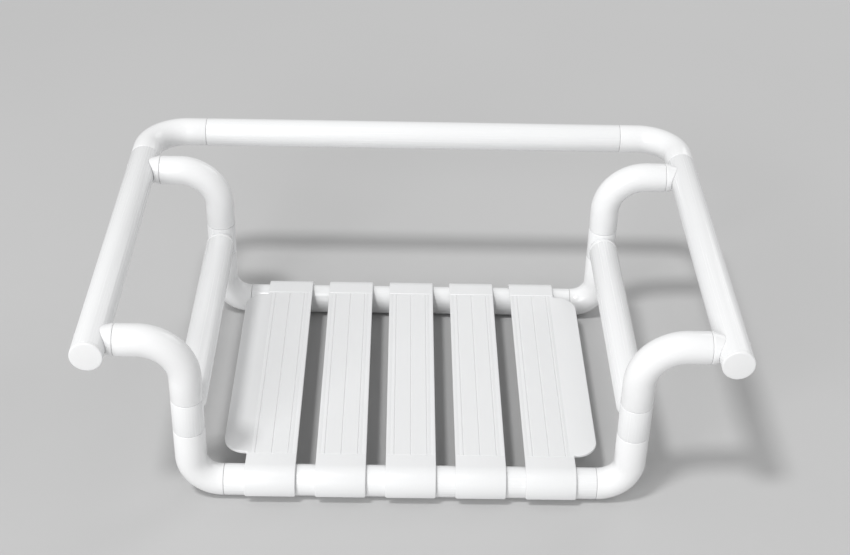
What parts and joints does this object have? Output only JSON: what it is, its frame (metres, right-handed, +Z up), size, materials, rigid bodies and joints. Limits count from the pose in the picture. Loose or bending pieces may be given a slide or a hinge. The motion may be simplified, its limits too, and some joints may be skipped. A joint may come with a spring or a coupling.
{
  "type": "bath seat",
  "caption": "Seat that hangs on a bathtub's rim: a U-shaped round-tube frame with hangers that carry a low slatted seat between side bars.",
  "frame": {"origin": "on the ground, under the middle of the seat's outer size", "axes": "+X to the right of a viewer in front of the open end, +Y towards the rear cross rail, +Z up"},
  "size_m": [0.684, 0.4887, 0.2163],
  "materials": {
    "frame_plastic": "satin",
    "slat_plastic": "satin",
    "cap_plastic": "satin",
    "core_steel": "zinc plated",
    "bolt_steel": "zinc plated",
    "pad_rubber": "matt"
  },
  "bodies": {
    "root": {"front_left_saddle_collar": "frame_plastic", "front_left_upper_elbow": "frame_plastic", "front_left_upright": "frame_plastic", "front_left_lower_elbow": "frame_plastic", "front_left_bar_collar": "frame_plastic", "front_left_hanger_core": "core_steel", "front_left_rail_bolt": "bolt_steel", "front_left_hole_plug": "cap_plastic", "front_right_saddle_collar": "frame_plastic", "front_right_upper_elbow": "frame_plastic", "front_right_upright": "frame_plastic", "front_right_lower_elbow": "frame_plastic", "front_right_bar_collar": "frame_plastic", "front_right_hanger_core": "core_steel", "front_right_rail_bolt": "bolt_steel", "front_right_hole_plug": "cap_plastic", "rear_left_saddle_collar": "frame_plastic", "rear_left_upper_elbow": "frame_plastic", "rear_left_upright": "frame_plastic", "rear_left_lower_elbow": "frame_plastic", "rear_left_bar_collar": "frame_plastic", "rear_left_hanger_core": "core_steel", "rear_left_rail_bolt": "bolt_steel", "rear_left_hole_plug": "cap_plastic", "rear_right_saddle_collar": "frame_plastic", "rear_right_upper_elbow": "frame_plastic", "rear_right_upright": "frame_plastic", "rear_right_lower_elbow": "frame_plastic", "rear_right_bar_collar": "frame_plastic", "rear_right_hanger_core": "core_steel", "rear_right_rail_bolt": "bolt_steel", "rear_right_hole_plug": "cap_plastic", "left_rail_sleeve": "frame_plastic", "left_corner_elbow": "frame_plastic", "left_bar_sleeve": "frame_plastic", "left_rail_core": "core_steel", "left_corner_core": "core_steel", "left_bar_core": "core_steel", "left_end_cap": "cap_plastic", "left_rim_pad": "pad_rubber", "right_rail_sleeve": "frame_plastic", "right_corner_elbow": "frame_plastic", "right_bar_sleeve": "frame_plastic", "right_rail_core": "core_steel", "right_corner_core": "core_steel", "right_bar_core": "core_steel", "right_end_cap": "cap_plastic", "right_rim_pad": "pad_rubber", "rear_cross_sleeve": "frame_plastic", "rear_cross_core": "core_steel", "front_seat_sleeve": "frame_plastic", "front_seat_core": "core_steel", "rear_seat_sleeve": "frame_plastic", "rear_seat_core": "core_steel", "slat_1": "slat_plastic", "slat_2": "slat_plastic", "slat_3": "slat_plastic", "slat_4": "slat_plastic", "slat_5": "slat_plastic"}
  },
  "joints": []
}
